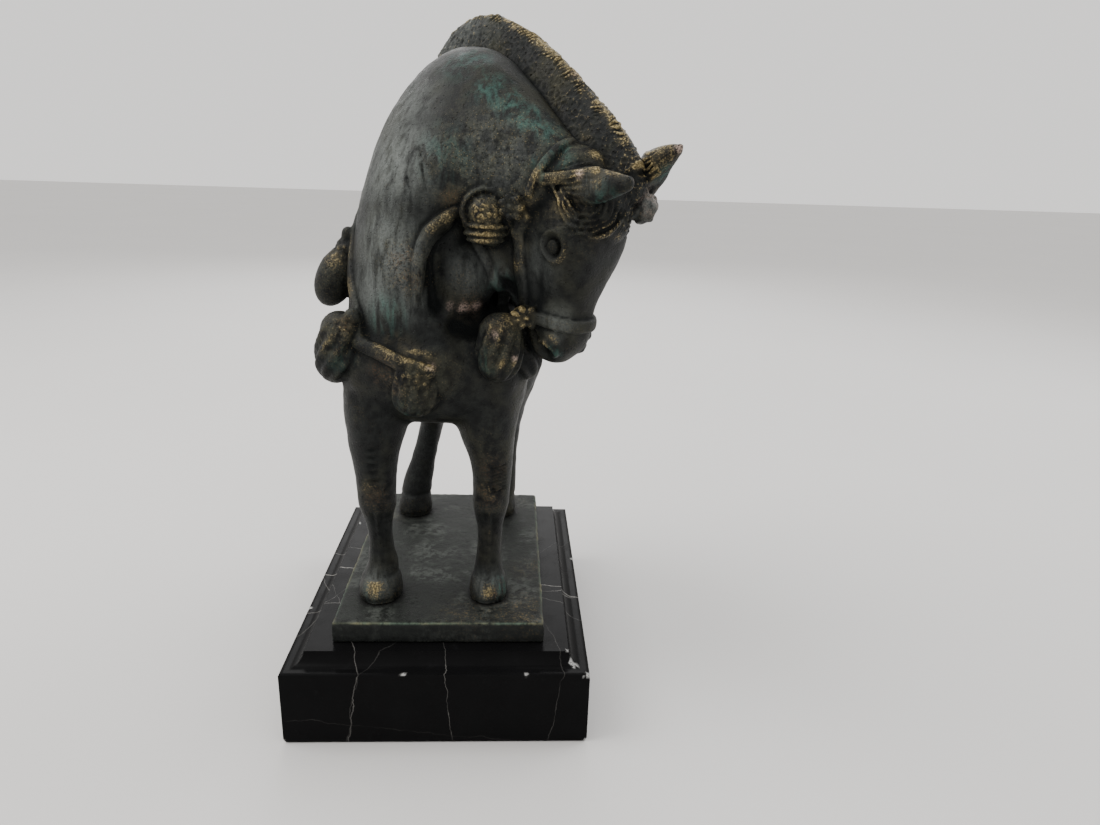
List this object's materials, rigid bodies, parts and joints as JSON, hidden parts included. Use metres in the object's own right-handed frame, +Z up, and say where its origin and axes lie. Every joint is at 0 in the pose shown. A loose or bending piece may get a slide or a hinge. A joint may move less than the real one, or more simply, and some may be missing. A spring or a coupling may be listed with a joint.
{
  "type": "cast metal horse statue",
  "caption": "Cast metal statue of a standing horse, its neck arched and head turned and tucked, with bridle, breast strap and tassels, on a ground plate and a black marble base.",
  "frame": {"origin": "centre of the marble base's underside", "axes": "+Z up, -Y towards the horse's front, +X towards the horse's left side, where its head is turned"},
  "size_m": [0.1504, 0.1699, 0.2908],
  "materials": {
    "cast_bronze": "dark grey-green patina, worn golden on the raised edges, with turquoise traces",
    "cast_plate": "dull grey-green patina with worn pale edges",
    "black_marble": "polished, with thin white veins"
  },
  "bodies": {
    "root": {"horse": "cast_bronze", "ground_plate": "cast_plate", "marble_base": "black_marble"}
  },
  "joints": []
}
